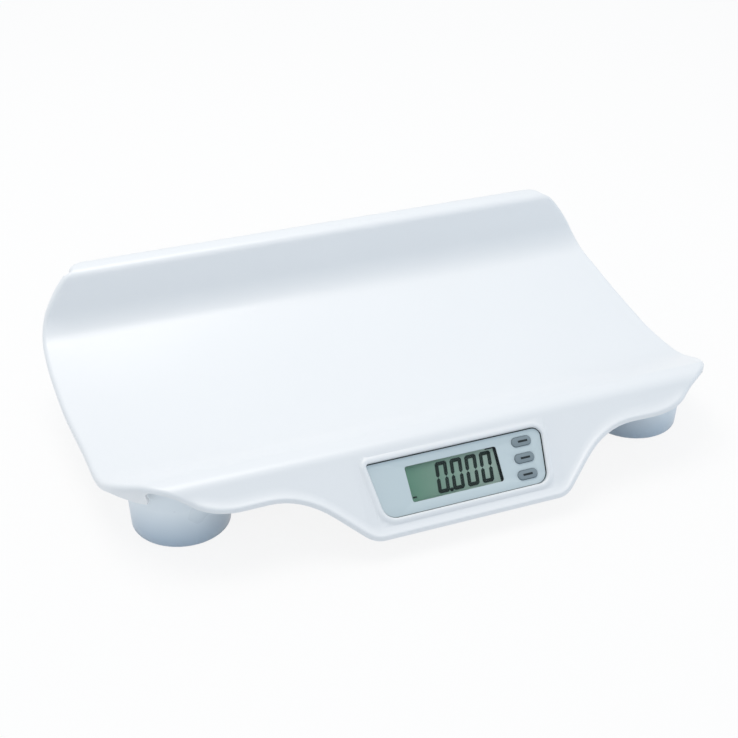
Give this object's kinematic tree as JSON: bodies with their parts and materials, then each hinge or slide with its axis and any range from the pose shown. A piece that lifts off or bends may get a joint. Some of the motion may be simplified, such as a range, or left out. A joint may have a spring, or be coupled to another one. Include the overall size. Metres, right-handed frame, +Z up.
{
  "type": "digital baby weighing scale",
  "caption": "Digital baby scale: a one-piece curved tray with a raised back on four sensing feet, with a tilted display panel and press keys in its front lobe.",
  "frame": {"origin": "on the floor plane under the middle of the whole part", "axes": "+X along the tray to the right as its user sees it, +Y from the display to the back wall, +Z up"},
  "size_m": [0.55, 0.362, 0.12],
  "materials": {
    "tray_plastic": "satin moulded white",
    "base_plastic": "fine texture",
    "foot_plastic": "satin moulded pale grey",
    "black_plastic": "matte",
    "sensor_steel": "milled",
    "plate_steel": "zinc plated",
    "pad_rubber": "matte",
    "screw_steel": "zinc plated",
    "contact_metal": "nickel plated",
    "panel_plastic": "printed film, blue grey",
    "lens_clear": "clear",
    "lcd_face": "grey green display",
    "holder_plastic": "moulded",
    "zebra_rubber": "matte",
    "board_green": "solder resist",
    "key_plastic": "moulded grey",
    "cell_jacket": "wrapped",
    "lead_grey": "insulated wire",
    "lead_red": "insulated wire"
  },
  "bodies": {
    "root": {"tray_shell": "tray_plastic", "base_cover": "base_plastic", "case_screws": "screw_steel", "foot_screws": "screw_steel", "foot_cup_fl": "foot_plastic", "foot_cup_fr": "foot_plastic", "foot_cup_bl": "foot_plastic", "foot_cup_br": "foot_plastic", "load_cell_holder_fl": "black_plastic", "load_cell_holder_fr": "black_plastic", "load_cell_holder_bl": "black_plastic", "load_cell_holder_br": "black_plastic", "load_cell_fl": "sensor_steel", "load_cell_fr": "sensor_steel", "load_cell_bl": "sensor_steel", "load_cell_br": "sensor_steel", "foot_plate_fl": "plate_steel", "foot_plate_fr": "plate_steel", "foot_plate_bl": "plate_steel", "foot_plate_br": "plate_steel", "foot_pad_fl": "pad_rubber", "foot_pad_fr": "pad_rubber", "foot_pad_bl": "pad_rubber", "foot_pad_br": "pad_rubber", "display_panel": "panel_plastic", "lcd_lens": "lens_clear", "lcd_glass": "lcd_face", "lcd_holder": "holder_plastic", "lcd_connector": "zebra_rubber", "main_board": "board_green", "board_chips": "black_plastic", "board_screws": "screw_steel", "tact_switches": "black_plastic", "buzzer": "black_plastic", "battery_cells": "cell_jacket", "battery_springs": "contact_metal", "battery_contacts": "contact_metal", "sensor_leads": "lead_grey", "battery_leads": "lead_red"},
    "power_key_body": {"power_key": "key_plastic"},
    "zero_key_body": {"zero_key": "key_plastic"},
    "hold_key_body": {"hold_key": "key_plastic"},
    "battery_door_body": {"battery_door": "base_plastic"}
  },
  "joints": [
    {"name": "power_key_press", "type": "slide", "parent": "root", "child": "power_key_body", "axis": [0, 0.7431, -0.6691], "range_m": [0, 0.0008], "stiffness_N_per_m": 500, "springref_m": -0.001},
    {"name": "zero_key_press", "type": "slide", "parent": "root", "child": "zero_key_body", "axis": [0, 0.7431, -0.6691], "range_m": [0, 0.0008], "stiffness_N_per_m": 500, "springref_m": -0.001},
    {"name": "hold_key_press", "type": "slide", "parent": "root", "child": "hold_key_body", "axis": [0, 0.7431, -0.6691], "range_m": [0, 0.0008], "stiffness_N_per_m": 500, "springref_m": -0.001},
    {"name": "battery_door_slide", "type": "slide", "parent": "root", "child": "battery_door_body", "axis": [0, 1, 0], "range_m": [0, 0.045]}
  ]
}
